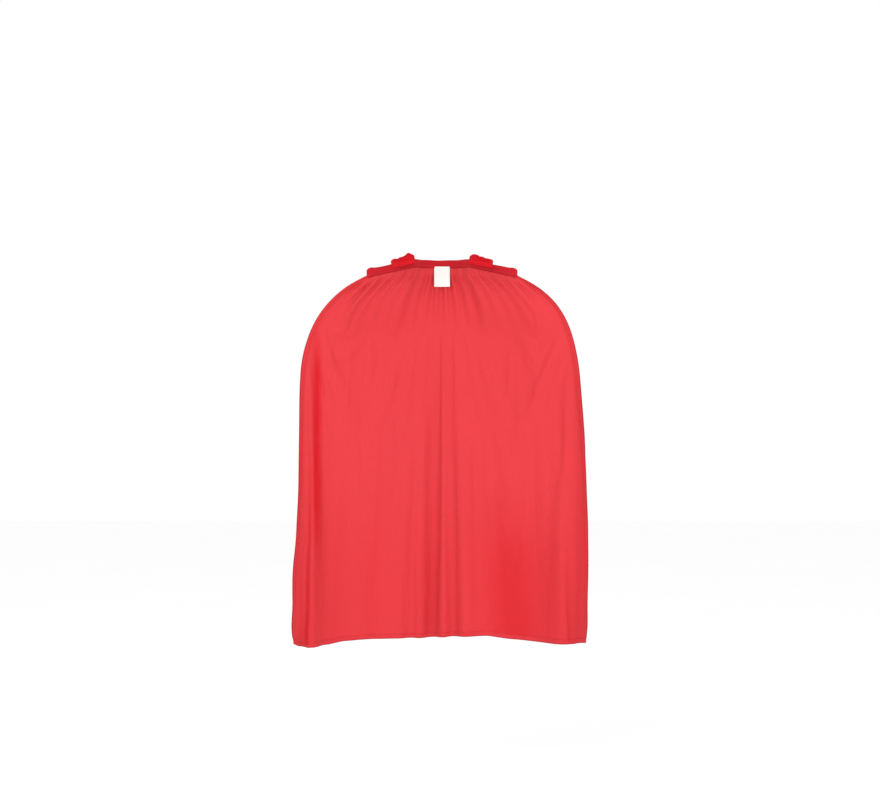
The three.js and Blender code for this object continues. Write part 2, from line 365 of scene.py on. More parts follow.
def cut_surface(sizes):
    """Points of the gathered cloth as it is first hung up, as an array of rows by columns.

    Each row is waved just deeply enough to take up the width that was cut there."""
    across = columns_across()[None, :]
    down = (np.linspace(0, 1, ROWS + 1) ** ROW_CROWDING)[:, None]
    top_y, top_z = seam_point(across * SHOULDER_HALF_WIDTH)
    z = mix(top_z, HEM_Z, down)
    x = across * half_width(z)
    wrapped = mix(
        mix(EDGE_Y[0], EDGE_Y[1], down),
        mix(BACK_Y[0], BACK_Y[1], down),
        1 - np.abs(across) ** BACK_ROUNDNESS,
    )
    y = mix(top_y, wrapped, smooth(0, BACK_FALL, top_z - z))
    even = np.stack(np.broadcast_arrays(x, y, z), axis=-1)
    wave = fullness(across, down, sizes)
    target = mix(sizes.neck_cut_width, sizes.hem_cut_width, down)
    shallow = np.zeros((ROWS + 1, 1))
    deep = np.full((ROWS + 1, 1), DEEPEST_WAVE)
    points = even.copy()
    halvings = 24
    for _ in range(halvings):
        depth = (shallow + deep) / 2
        points[..., 1] = even[..., 1] + depth * wave
        too_wide = widths(points) > target
        deep = np.where(too_wide, depth, deep)
        shallow = np.where(too_wide, shallow, depth)
    below_seam = down * (SEAM_Z - HEM_Z)
    deepest = mix(SEAM_WAVE, DEEPEST_WAVE, smooth(0, SEAM_WAVE_FALL, below_seam))
    depth = np.minimum(depth, deepest)
    points[..., 1] = even[..., 1] + depth * wave
    return points


def flat_cut(points):
    """The same points laid flat, in the shape that the cloth was cut to."""
    lengths = np.linalg.norm(np.diff(points, axis=0), axis=-1).cumsum(axis=0)
    lengths = np.vstack([np.zeros((1, COLUMNS + 1)), lengths])
    steps = np.linalg.norm(np.diff(points, axis=1), axis=-1).cumsum(axis=1)
    steps = np.hstack([np.zeros((ROWS + 1, 1)), steps])
    flat = np.zeros_like(points)
    flat[..., 0] = steps - steps[:, -1:] / 2
    flat[..., 2] = -lengths
    return flat


def cut_area(flat):
    """Area of a flat grid of points."""
    a = flat[1:, 1:] - flat[:-1, :-1]
    b = flat[1:, :-1] - flat[:-1, 1:]
    return float(0.5 * np.abs(np.cross(a, b)[..., 1]).sum())


def grid_faces(rows, columns):
    """Four-cornered faces of a grid whose points are numbered row by row."""
    index = np.arange((rows + 1) * (columns + 1)).reshape(rows + 1, columns + 1)
    corners = (index[:-1, :-1], index[1:, :-1], index[1:, 1:], index[:-1, 1:])
    return np.stack([c.ravel() for c in corners], axis=1).tolist()


def new_object(name, vertices, faces, material=None):
    mesh = bpy.data.meshes.new(name)
    mesh.from_pydata([tuple(v) for v in vertices], [], faces)
    mesh.validate()
    piece = bpy.data.objects.new(name, mesh)
    bpy.context.scene.collection.objects.link(piece)
    if material is not None:
        mesh.materials.append(material)
    mesh.polygons.foreach_set("use_smooth", [True] * len(mesh.polygons))
    return piece


def holding(points):
    """How firmly each point is held where it is: the seam firmly, along the arms down to the
    elbows well, and against the wearer's shoulder blades lightly."""
    across = np.abs(columns_across())[None, :]
    z = points[..., 2]
    arms = ARM_HOLD * smooth(*ARM_ACROSS, across) * smooth(*ARM_END, z)
    back = BACK_HOLD * smooth(*BACK_ACROSS, across) * smooth(*BACK_END, z)
    hold = np.maximum(arms, back)
    hold[0, :] = 1.0
    return hold


def hang(points, sizes):
    """Cloth simulation: the gathered cloth hangs from its seam and over the arms, and settles."""
    piece = new_object("hanging", points.reshape(-1, 3), grid_faces(ROWS, COLUMNS))
    group = piece.vertex_groups.new(name="held")
    for index, weight in enumerate(holding(points).ravel()):
        if weight > 0:
            group.add([index], float(weight), "REPLACE")
    cloth = piece.modifiers.new("hang", "CLOTH")
    cloth.settings.quality = 8
    cloth.settings.mass = 0.02
    cloth.settings.tension_stiffness = 40
    cloth.settings.compression_stiffness = 25
    cloth.settings.shear_stiffness = 6
    cloth.settings.bending_stiffness = 0.05
    cloth.settings.air_damping = 3
    cloth.settings.vertex_group_mass = "held"
    cloth.collision_settings.use_collision = False
    cloth.point_cache.frame_start = 1
    cloth.point_cache.frame_end = sizes.hang_frames
    scene = bpy.context.scene
    for step in range(1, sizes.hang_frames + 1):
        scene.frame_set(step)
    ready = piece.evaluated_get(bpy.context.evaluated_depsgraph_get())
    hung = np.empty(len(piece.data.vertices) * 3)
    ready.data.vertices.foreach_get("co", hung)
    bpy.data.objects.remove(piece)
    scene.frame_set(1)
    return hung.reshape(points.shape)


# ---------- what is sewn onto the hung cloth ----------


class Drape:
    """The hung cloth as a smooth surface: place(u, v, lift), with u across and v down, 0 to 1."""

    def __init__(self, points):
        self.points = points
        self.rows = points.shape[0] - 1
        self.columns = points.shape[1] - 1
        along = np.gradient(points, axis=1)
        downwards = np.gradient(points, axis=0)
        normals = np.cross(downwards, along)
        self.normals = normals / np.linalg.norm(normals, axis=-1, keepdims=True)

    def sample(self, field, u, v):
        column = np.clip(np.asarray(u, float), 0, 1) * self.columns
        row = np.clip(np.asarray(v, float), 0, 1) * self.rows
        c0 = np.minimum(column.astype(int), self.columns - 1)
        r0 = np.minimum(row.astype(int), self.rows - 1)
        cs = (column - c0)[..., None]
        rs = (row - r0)[..., None]
        upper = mix(field[r0, c0], field[r0, c0 + 1], cs)
        lower = mix(field[r0 + 1, c0], field[r0 + 1, c0 + 1], cs)
        return mix(upper, lower, rs)

    def place(self, u, v, lift=0.0):
        """Points on the cloth, raised by lift towards the wearer."""
        u, v, lift = np.broadcast_arrays(u, v, np.asarray(lift, float))
        normal = self.sample(self.normals, u, v)
        return self.sample(self.points, u, v) + normal * lift[..., None]

    def row_lengths(self):
        """Distance from the right edge along each row, in metres."""
        steps = np.linalg.norm(np.diff(self.points, axis=1), axis=-1)
        return np.hstack([np.zeros((self.rows + 1, 1)), steps.cumsum(axis=1)])

    def column_lengths(self):
        """Distance from the seam down each column, in metres."""
        steps = np.linalg.norm(np.diff(self.points, axis=0), axis=-1)
        return np.vstack([np.zeros((1, self.columns + 1)), steps.cumsum(axis=0)])


def finer(points):
    """The grid with twice as many rows and columns, through a smooth curve."""
    for axis in (0, 1):
        p = np.moveaxis(points, axis, 0)
        before = np.concatenate([2 * p[:1] - p[1:2], p[:-2]])
        after = np.concatenate([p[2:], 2 * p[-1:] - p[-2:-1]])
        halfway = (9 * (p[:-1] + p[1:]) - before - after) / 16
        out = np.empty((2 * len(p) - 1, *p.shape[1:]))
        out[0::2] = p
        out[1::2] = halfway
        points = np.moveaxis(out, 0, axis)
    return points


def add_uv(piece, uv_of_vertex):
    layer = piece.data.uv_layers.new(name="cloth")
    loops = np.empty(len(piece.data.loops), int)
    piece.data.loops.foreach_get("vertex_index", loops)
    layer.data.foreach_set("uv", np.asarray(uv_of_vertex, float)[loops].ravel())


def shell(name, near, far, uv, material):
    """A closed piece between two grids of points; uv holds one pair for each grid point."""
    rows, columns = near.shape[0] - 1, near.shape[1] - 1
    count = near.shape[0] * near.shape[1]
    index = np.arange(count).reshape(near.shape[:2])
    front = grid_faces(rows, columns)
    faces = [tuple(face) for face in front]
    faces += [tuple(count + i for i in reversed(face)) for face in front]
    rim = [*index[0, :], *index[1:, -1], *index[-1, -2::-1], *index[-2:0:-1, 0]]
    for a, b in zip(rim, rim[1:] + rim[:1]):
        faces.append((int(a), int(b), int(b) + count, int(a) + count))
    vertices = np.vstack([near.reshape(-1, 3), far.reshape(-1, 3)])
    piece = new_object(name, vertices, faces, material)
    add_uv(piece, np.vstack([uv.reshape(-1, 2)] * 2))
    return piece


def thread(name, lines, radius, material):
    """Stitches as short rounded rods. Each line is an array of points along one stitch."""
    sides = 6
    tip_size = 0.45
    vertices, faces = [], []
    for line in lines:
        line = np.asarray(line, float)
        forward = np.gradient(line, axis=0)
        forward /= np.linalg.norm(forward, axis=1, keepdims=True)
        helper = np.where(np.abs(forward[:, 2:3]) > 0.8, [[0.0, 1.0, 0.0]], [[0.0, 0.0, 1.0]])
        side = np.cross(forward, helper)
        side /= np.linalg.norm(side, axis=1, keepdims=True)
        up = np.cross(side, forward)
        start = len(vertices)
        count = len(line)
        taper = np.full(count, 1.0)
        taper[[0, -1]] = tip_size
        for point, s, t, size in zip(line, side, up, taper):
            for k in range(sides):
                angle = 2 * math.pi * k / sides
                vertices.append(point + radius * size * (s * math.cos(angle) + t * math.sin(angle)))
        for i in range(count - 1):
            for k in range(sides):
                a = start + i * sides + k
                b = start + i * sides + (k + 1) % sides
                faces.append((a, b, b + sides, a + sides))
        faces.append(tuple(start + k for k in reversed(range(sides))))
        faces.append(tuple(start + (count - 1) * sides + k for k in range(sides)))
    return new_object(name, vertices, faces, material)


STITCH_ARCH = np.array([-0.35, 0.1, 0.2, 0.1, -0.35]) * 0.4 * MM


def stitch_line(place, length, stitch, gap, lift):
    """Stitches end to end along place(distance, lift), each a small arch."""
    pitch = stitch + gap
    lines = []
    for number in range(int(length / pitch)):
        start = number * pitch + gap / 2
        at = start + np.linspace(0, 1, len(STITCH_ARCH)) * stitch
        lines.append(place(at, lift + STITCH_ARCH))
    return lines


def swept(name, profile_at, count, material, across):
    """A piece made of rings of points: profile_at(i) gives ring i of count.

    across gives each point of a ring its place on the cloth, in metres."""
    rings = [np.asarray(profile_at(i), float) for i in range(count)]
    sides = len(rings[0])
    faces = []
    for i in range(count - 1):
        for k in range(sides):
            a, b = i * sides + k, i * sides + (k + 1) % sides
            faces.append((a, a + sides, b + sides, b))
    faces.append(tuple(range(sides)))
    faces.append(tuple((count - 1) * sides + k for k in reversed(range(sides))))
    piece = new_object(name, np.vstack(rings), faces, material)
    middles = np.array([ring.mean(axis=0) for ring in rings])
    along = np.hstack([0, np.linalg.norm(np.diff(middles, axis=0), axis=1).cumsum()])
    uv = np.stack([np.repeat(along, sides), np.tile(across, count)], axis=-1)
    add_uv(piece, uv)
    return piece


# ---------- finishes ----------


class Nodes:
    """A short way to write a material's nodes."""

    def __init__(self, name):
        self.material = bpy.data.materials.new(name)
        self.material.use_nodes = True
        self.tree = self.material.node_tree
        self.tree.nodes.clear()

    def add(self, kind, inputs=None, **values):
        node = self.tree.nodes.new(kind)
        for key, value in values.items():
            setattr(node, key, value)
        for key, value in (inputs or {}).items():
            if isinstance(value, bpy.types.NodeSocket):
                self.tree.links.new(value, node.inputs[key])
            else:
                node.inputs[key].default_value = value
        return node

    def math(self, operation, first, second=0.0):
        return self.add("ShaderNodeMath", {0: first, 1: second}, operation=operation).outputs[0]

    def sine_across(self, coordinate, period):
        return self.math("SINE", self.math("MULTIPLY", coordinate, 2 * math.pi / period))

    def noise(self, vector, scale, detail=2.0, roughness=0.5):
        inputs = {"Vector": vector, "Scale": scale, "Detail": detail, "Roughness": roughness}
        return self.add("ShaderNodeTexNoise", inputs).outputs["Fac"]

    def stretched(self, vector, scale):
        return self.add("ShaderNodeMapping", {"Vector": vector, "Scale": scale}).outputs[0]

    def ramp(self, factor, low, high):
        """A factor spread between two values."""
        inputs = {"Value": factor, "To Min": low, "To Max": high}
        return self.add("ShaderNodeMapRange", inputs).outputs["Result"]

    def between(self, factor, first, second):
        """A mix of two colours, each a colour or a socket."""
        node = self.add("ShaderNodeMix", data_type="RGBA")
        for key, value in ((0, factor), (6, first), (7, second)):
            if isinstance(value, bpy.types.NodeSocket):
                self.tree.links.new(value, node.inputs[key])
            elif isinstance(value, tuple):
                node.inputs[key].default_value = (*value, 1)
            else:
                node.inputs[key].default_value = value
        return node.outputs[2]

    def bump(self, height, strength, distance, normal=None):
        inputs = {"Height": height, "Strength": strength, "Distance": distance}
        if normal is not None:
            inputs["Normal"] = normal
        return self.add("ShaderNodeBump", inputs).outputs["Normal"]

    def finish(self, shader):
        self.add("ShaderNodeOutputMaterial", {"Surface": shader})
        return self.material


def shade(colour, amount):
    """A colour made darker or lighter by amount."""
    return tuple(min(1.0, c * amount) for c in colour[:3])


SLUBS_DOWN = (900, 45, 1)
SLUBS_ACROSS = (45, 900, 1)
CREASE_STRETCH = (1, 0.55, 1)
THREAD_DEPTH = 0.10 * MM
SLUB_DEPTH = 0.16 * MM
CREASE_DEPTH = 2.2 * MM
ROUGHNESS_SPREAD = 0.06
SHEEN_ROUGHNESS = 0.45
SHEEN_TINT = (1.0, 0.72, 0.72, 1.0)


def woven_cloth(name, colour, pitch, weave, glow=0.0, wrinkle=0.5, sheen=0.25, roughness=0.62,
                specular=0.3, rim=0.0, lap_shade=None):
    """Plain-woven cloth on the piece's own cloth coordinates, with slubs and faint creases.

    pitch is the thread spacing in metres, weave the depth of the threads, glow the share of
    light that comes through from behind, rim the width of a dark line of painted shade along a
    fold, and the lap colour is painted shade laid where the cloth lies over itself, as deeply as
    the piece's layers attribute says."""
    nodes = Nodes(name)
    uv = nodes.add("ShaderNodeUVMap", uv_map="cloth").outputs["UV"]
    parts = nodes.add("ShaderNodeSeparateXYZ", {0: uv})
    warp = nodes.sine_across(parts.outputs["X"], pitch)
    weft = nodes.sine_across(parts.outputs["Y"], pitch)
    threads = nodes.math("MULTIPLY", warp, weft)
    slub_down = nodes.noise(nodes.stretched(uv, SLUBS_DOWN), 1.0, 3.0)
    slub_across = nodes.noise(nodes.stretched(uv, SLUBS_ACROSS), 1.0, 3.0)
    slubs = nodes.math("ADD", slub_down, slub_across)
    creases = nodes.noise(nodes.stretched(uv, CREASE_STRETCH), 26.0, 4.0, 0.55)
    blotches = nodes.noise(uv, 7.0, 3.0)
    tone = nodes.math("ADD", nodes.math("MULTIPLY", slubs, 0.35), nodes.math("MULTIPLY", blotches, 0.3))
    base = nodes.between(tone, shade(colour, 0.90), shade(colour, 1.10))
    # painted shade: a dark line along the fold, within rim of the turned edge
    if rim > 0:
        turned = nodes.ramp(parts.outputs["Y"], 1.0, 0.0)
        turned.node.inputs["From Min"].default_value = rim * 0.5
        turned.node.inputs["From Max"].default_value = rim
        base = nodes.between(turned, base, shade(colour, 0.60))
    # painted shade where the cloth laps over itself, as deep as the layers attribute says
    if lap_shade is not None:
        layers = nodes.add("ShaderNodeAttribute", attribute_name="layers").outputs["Fac"]
        base = nodes.between(layers, base, lap_shade)
    grain = nodes.bump(threads, weave, THREAD_DEPTH)
    grain = nodes.bump(slubs, 0.35, SLUB_DEPTH, grain)
    grain = nodes.bump(creases, wrinkle, CREASE_DEPTH, grain)
    rough = nodes.ramp(slubs, roughness - ROUGHNESS_SPREAD, roughness + ROUGHNESS_SPREAD)
    cloth = nodes.add(
        "ShaderNodeBsdfPrincipled",
        {
            "Base Color": base,
            "Roughness": rough,
            "Normal": grain,
            "Specular IOR Level": specular,
            "Sheen Weight": sheen,
            "Sheen Roughness": SHEEN_ROUGHNESS,
            "Sheen Tint": SHEEN_TINT,
        },
    ).outputs["BSDF"]
    if glow > 0:
        through = nodes.add("ShaderNodeBsdfTranslucent", {"Color": base, "Normal": grain}).outputs[0]
        cloth = nodes.add("ShaderNodeMixShader", {0: glow, 1: cloth, 2: through}).outputs[0]
    return nodes.finish(cloth)


def twisted_thread(name, colour):
    """Plied sewing thread."""
    nodes = Nodes(name)
    place = nodes.add("ShaderNodeTexCoord").outputs["Object"]
    twist = nodes.add(
        "ShaderNodeTexWave",
        {"Vector": place, "Scale": 700.0, "Distortion": 1.5, "Detail": 1.0},
        bands_direction="DIAGONAL",
    ).outputs["Fac"]
    base = nodes.between(twist, shade(colour, 0.75), shade(colour, 1.25))
    return nodes.finish(
        nodes.add(
            "ShaderNodeBsdfPrincipled",
            {
                "Base Color": base,
                "Roughness": nodes.ramp(twist, 0.38, 0.55),
                "Normal": nodes.bump(twist, 0.5, 0.08 * MM),
                "Sheen Weight": 0.2,
            },
        ).outputs["BSDF"]
    )


def pressed_felt(name, colour):
    """Fibres pressed into a matt sheet."""
    nodes = Nodes(name)
    place = nodes.add("ShaderNodeTexCoord").outputs["Object"]
    fibres = nodes.noise(nodes.stretched(place, (1, 1, 2.5)), 1400.0, 4.0, 0.7)
    base = nodes.between(fibres, shade(colour, 0.85), shade(colour, 1.05))
    return nodes.finish(
        nodes.add(
            "ShaderNodeBsdfPrincipled",
            {
                "Base Color": base,
                "Roughness": nodes.ramp(fibres, 0.85, 1.0),
                "Normal": nodes.bump(fibres, 0.6, 0.15 * MM),
            },
        ).outputs["BSDF"]
    )


def hook_nylon(name, colour):
    """Ribbed nylon tape with a slight gloss."""
    nodes = Nodes(name)
    place = nodes.add("ShaderNodeTexCoord").outputs["Object"]
    ribs = nodes.add(
        "ShaderNodeTexWave", {"Vector": place, "Scale": 300.0, "Distortion": 0.6}
    ).outputs["Fac"]
    grit = nodes.noise(place, 900.0, 3.0)
    base = nodes.between(grit, shade(colour, 0.7), shade(colour, 1.2))
    normal = nodes.bump(ribs, 0.5, 0.12 * MM)
    return nodes.finish(
        nodes.add(
            "ShaderNodeBsdfPrincipled",
            {
                "Base Color": base,
                "Roughness": nodes.ramp(grit, 0.4, 0.6),
                "Normal": nodes.bump(grit, 0.4, 0.08 * MM, normal),
            },
        ).outputs["BSDF"]
    )


def studio_paper(name):
    """Nearly white paper."""
    nodes = Nodes(name)
    place = nodes.add("ShaderNodeTexCoord").outputs["Object"]
    mottle = nodes.noise(place, 3.0, 4.0)
    base = nodes.between(mottle, (0.965, 0.965, 0.965), (0.985, 0.985, 0.985))
    paper = {"Base Color": base, "Roughness": 1.0, "Specular IOR Level": 0.0}
    return nodes.finish(nodes.add("ShaderNodeBsdfPrincipled", paper).outputs["BSDF"])


FELT = (0.82, 0.80, 0.76)
HOOK_NYLON = (0.36, 0.015, 0.03)
LABEL_SATIN = (0.78, 0.77, 0.74)

finishes = {}


def finish_named(kind):
    """One of the cape's finishes, made the first time that it is asked for."""
    if kind in finishes:
        return finishes[kind]
    colours = bpy.context.scene.cape_colours
    cloth = tuple(colours.cloth)
    doubled = tuple(colours.doubled)
    turned = tuple(0.6 * c + 0.4 * d for c, d in zip(cloth, doubled))
    makers = {
        # the cloth carries painted shade where it laps over itself
        "cloth": lambda: woven_cloth(
            "thin red polyester", cloth, 0.9 * MM, 0.5, glow=0.32, sheen=0.08, specular=0.12,
            lap_shade=tuple(colours.lap_shade)
        ),
        # the hem carries a dark line of painted shade along its fold
        "hem": lambda: woven_cloth(
            "doubled red polyester", turned, 0.9 * MM, 0.5, glow=0.20, wrinkle=0.3,
            sheen=0.08, specular=0.12, rim=1.2 * MM
        ),
        "tab": lambda: woven_cloth(
            "shoulder tab polyester", shade(doubled, 0.82), 0.9 * MM, 0.9, wrinkle=1.0,
            sheen=0.0, roughness=0.62, specular=0.0
        ),
        "tape": lambda: woven_cloth(
            "binding tape", tuple(colours.tape), 1.1 * MM, 0.8, wrinkle=0.2,
            sheen=0.02, roughness=0.55, specular=0.14
        ),
        "lining": lambda: woven_cloth(
            "tab lining", shade(doubled, 0.55), 0.8 * MM, 0.6, wrinkle=0.2, sheen=0.0, specular=0.05
        ),
        "felt": lambda: pressed_felt("tab stiffener felt", FELT),
        "hooks": lambda: hook_nylon("hook tape nylon", HOOK_NYLON),
        "thread": lambda: twisted_thread("red sewing thread", tuple(colours.thread)),
        "label": lambda: woven_cloth(
            "blank satin label", LABEL_SATIN, 0.5 * MM, 0.3, wrinkle=0.1, sheen=0.1, roughness=0.4
        ),
    }
    finishes[kind] = makers[kind]()
    return finishes[kind]


# ---------- the panel ----------


def pleat_share(points):
    """How strongly the narrow soft pleat shows at each point, from 0 to 1."""
    x, z = points[..., 0], points[..., 2]
    start, full, fading, end = PLEAT_HEIGHTS
    strength = smooth(start, full, z) * smooth(end, fading, z)
    return np.exp(-(((x - PLEAT_X) / PLEAT_HALF_WIDTH) ** 2)) * strength


def press_pleat(points):
    """Press the narrow pleat into the hung cloth."""
    moved = points.copy()
    moved[..., 1] += PLEAT_DEPTH * pleat_share(points)
    return moved


def painted_lap_shade_of(points, across):
    """How deep the painted shade lies at each point, from 0 to 1: where the cloth laps over itself in the
    pleat and beside the ripples, and over the lower cloth.
    """
    z = points[..., 2]
    low = np.zeros_like(z)
    for place, spread, depth, slant, start, end in RIPPLES:
        centre = place + slant * (z - start) / (start - end)
        beside = np.exp(-(((across - centre) / (RIPPLE_LAP_SHADE_SPREAD * spread)) ** 2))
        low += RIPPLE_LAP_SHADE * beside * smooth(0.0, RIPPLE_LAP_SHADE_DEPTH, depth)
    least, most = LOW_SHADE
    low = np.minimum(low + least, most) * smooth(*LOW_SHADE_HEIGHTS, z) * smooth(*LOW_SHADE_ACROSS, across)
    return np.maximum(PLEAT_LAP_SHADE * pleat_share(points), low)


def soft_ripples(points, across):
    """Narrow ripples that run down the cloth, and the loose waves of its free edges."""
    z = points[..., 2]
    moved = points.copy()
    for place, spread, depth, slant, top, bottom in RIPPLES:
        length = top - bottom
        centre = place + slant * (z - top) / length
        fade_in, fade_out = (share * length for share in RIPPLE_FADES)
        strength = smooth(top, top - fade_in, z) * smooth(bottom, bottom + fade_out, z)
        moved[..., 1] += depth * np.exp(-(((across - centre) / spread) ** 2)) * strength
    for side, waves in EDGE_WAVES.items():
        heights, shifts = np.array(waves[::-1]).T
        eased = (np.interp(z + step, heights, shifts) for step in EDGE_WAVE_EASING)
        shift = sum(eased) / len(EDGE_WAVE_EASING)
        reach = np.clip(side * across, 0, 1) ** EDGE_WAVE_POWER
        moved[..., 0] += side * shift * reach
    places, drops = np.array(HEM_WAVES).T
    drop = np.interp(across, places, drops)
    moved[..., 2] -= drop * smooth(HEM_WAVE_TOP, HEM_Z, z)
    corner = smooth(*CORNER_ACROSS, np.abs(across)) * smooth(CORNER_TOP, HEM_Z, z)
    moved[..., 1] -= CORNER_FORWARD * corner
    moved[..., 0] -= np.sign(across) * CORNER_IN * corner**2
    return moved


def soft_creases(points, amount):
    """Small wandering creases, such as folding leaves in thin cloth."""
    normals = Drape(points).normals
    height = [
        0.7 * noise.noise(Vector((x * 11, z * 5, 3.1)))
        + 0.3 * noise.noise(Vector((x * 34 + z * 9, z * 20, 8.7)))
        for x, y, z in points.reshape(-1, 3).tolist()
    ]
    height = np.array(height).reshape(points.shape[:2]) * amount
    height *= smooth(0.0, CREASE_FADE, points[:1, :, 2] - points[..., 2])
    return points + normals * height[..., None]


def sew_panel(scene):
    """Cut, hang and finish the cape's one large piece of cloth."""
    sizes = scene.cape_sizes
    points = cut_surface(sizes)
    flat = flat_cut(points)
    points = hang(points, sizes)
    points = finer(points)
    laid = finer(flat)
    across = finer(np.broadcast_to(columns_across()[None, :, None], (ROWS + 1, COLUMNS + 1, 1)))[..., 0]
    points = soft_ripples(points, across)
    points = press_pleat(points)
    points = soft_creases(points, CREASE_HEIGHT)
    drape = Drape(points)
    drapes["panel"] = drape
    half = sizes.cloth_thickness / 2
    near = points + drape.normals * half
    far = points - drape.normals * half
    panel = shell("cape_panel_cloth", near, far, laid[..., [0, 2]], finish_named("cloth"))
    # the layers attribute holds the painted shade where the cloth laps over itself, for the cloth's finish
    layers = panel.data.attributes.new("layers", "FLOAT", "POINT")
    layers.data.foreach_set("value", np.tile(painted_lap_shade_of(points, across).ravel(), 2))
    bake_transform(panel)
    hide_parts("cape_panel")
    drapes["cut area"] = cut_area(flat)
    drapes["cut length"] = float(-flat[-1, :, 2].min())
    return panel


# ---------- the hems ----------

# The turned edge in section: distance in from the cloth's edge, as a share of the hem's width, and
# height above the cloth in millimetres.
HEM_SECTION = (
    (1.00, 0.15), (1.00, 0.75), (0.92, 1.00), (0.80, 0.92), (0.73, 0.72), (0.66, 0.92),
    (0.40, 1.10), (0.12, 1.05), (-0.02, 0.80), (-0.07, 0.35), (-0.05, -0.10), (0.03, -0.32),
    (0.10, -0.24), (0.12, 0.10),
)
HEM_BACK = -0.35 * MM
HEM_STEP = 2.5 * MM
HEM_END = 1.05
PUCKER = 0.22
PUCKER_LENGTH = 2.9 * MM
HEM_WANDER = 0.35 * MM
STITCH_PLACE = 0.73
STITCH = 2.7 * MM
STITCH_GAP = 0.7 * MM


def turned_edge(name, place, length, width, nodes):
    """A hem along place(distance along, distance in, lift), with its rows of thread."""
    samples = int(length / HEM_STEP)

    def ring(i):
        along = length * i / (samples - 1)
        uneven = noise.noise(Vector((along * 60, 1.7, 0)))
        pucker = 1 + PUCKER * math.sin(along / PUCKER_LENGTH) * uneven
        wander = HEM_WANDER * noise.noise(Vector((along * 25, 5.1, 0)))
        section = np.array(HEM_SECTION)
        inward = section[:, 0] * width + wander * np.clip(section[:, 0], 0, 1)
        return place(np.full(len(inward), along), inward, section[:, 1] * MM * pucker)

    hem = swept(name, ring, samples, finish_named("hem"), np.array(HEM_SECTION)[:, 0] * width)
    inside = stitch_line(
        lambda at, arch: place(at, np.full(len(at), STITCH_PLACE * width), arch),
        length, STITCH, STITCH_GAP, 0.85 * MM)
    outside = stitch_line(
        lambda at, arch: place(at, np.full(len(at), STITCH_PLACE * width), HEM_BACK - (arch - HEM_BACK)),
        length, STITCH, STITCH_GAP, HEM_BACK)
    stitches = thread(f"{name}_thread", inside + outside, THREAD_RADIUS, finish_named("thread"))
    for piece, node in zip((hem, stitches), nodes):
        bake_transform(piece)
        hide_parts(node)
    return [hem, stitches]


def sew_hems(scene):
    """The bottom hem from side to side, then a hem up each side."""
    if "panel" not in drapes:
        raise RuntimeError("the panel has to be hung before its hems are sewn")
    drape = drapes["panel"]
    width = scene.cape_sizes.hem_width
    across = drape.row_lengths()
    down = drape.column_lengths()
    pieces = []

    hem_run = across[-1]
    bottom_length = float(hem_run[-1])
    column_share = np.linspace(0, 1, len(hem_run))
    rise = np.linspace(0, 1, drape.rows + 1)
    length_down = down[:, drape.columns // 2]

    def bottom(along, inward, lift):
        u = np.interp(along, hem_run, column_share)
        beyond = np.minimum(inward, 0)
        v = np.interp(length_down[-1] - np.maximum(inward, 0), length_down, rise)
        points = drape.place(u, v, lift)
        points[:, 2] += beyond
        return points

    pieces += turned_edge("bottom_hem_cloth", bottom, bottom_length, width,
                          ("bottom_hem", "bottom_hem_stitching"))

    for side, name in ((1, "left_side_hem"), (-1, "right_side_hem")):
        column = drape.columns if side > 0 else 0
        run = down[:, column]
        side_length = float(run[-1]) - width * HEM_END

        def upright(along, inward, lift, side=side, run=run):
            v = np.interp(along, run, rise)
            row_width = np.interp(v, rise, across[:, -1])
            share = np.maximum(inward, 0) / row_width
            u = 1 - share if side > 0 else share
            points = drape.place(u, v, lift)
            points[:, 0] -= side * np.minimum(inward, 0)
            return points

        pieces += turned_edge(f"{name}_cloth", upright, side_length, width, (name, f"{name}_stitching"))
    return pieces


# ---------- the neckline ----------


def seam_path(count):
    """Points along the seam with a level direction square to it, in metres."""
    angle = np.linspace(0, math.pi, count)
    x = -np.cos(angle) * SHOULDER_HALF_WIDTH
    y, z = seam_point(x)
    points = np.stack([x, y, z], axis=-1)
    length = np.hstack([0, np.linalg.norm(np.diff(points, axis=0), axis=1).cumsum()])
    even = np.linspace(0, length[-1], count)
    points = np.stack([np.interp(even, length, points[:, k]) for k in range(3)], axis=-1)
    ahead = np.gradient(points, axis=0)
    square = np.stack([ahead[:, 1], -ahead[:, 0], np.zeros(count)], axis=-1)
    square /= np.linalg.norm(square, axis=1, keepdims=True)
    return points, square, even


BINDING_SAMPLES = 220
BINDING_STITCH_OUT = 1.18
BINDING_STITCH_LIFT = 0.12 * MM
END_RADIUS = 4 * MM
END_BLUNT = 0.3 * MM
END_BULGE = 0.35
END_BULGE_PLACE = 7 * MM
END_BULGE_SPREAD = 6 * MM

# The binding in section: distance out from the seam, in half thicknesses, and share of its height.
BINDING_SECTION = (
    (0.9, -0.30), (1.15, -0.10), (1.15, 0.35), (1.2, 0.75), (0.95, 0.93), (0.4, 1.0),
    (-0.4, 1.0), (-0.95, 0.93), (-1.2, 0.75), (-1.15, 0.35), (-1.15, -0.10), (-0.9, -0.30),
    (-0.45, -0.22), (0.45, -0.22),
)


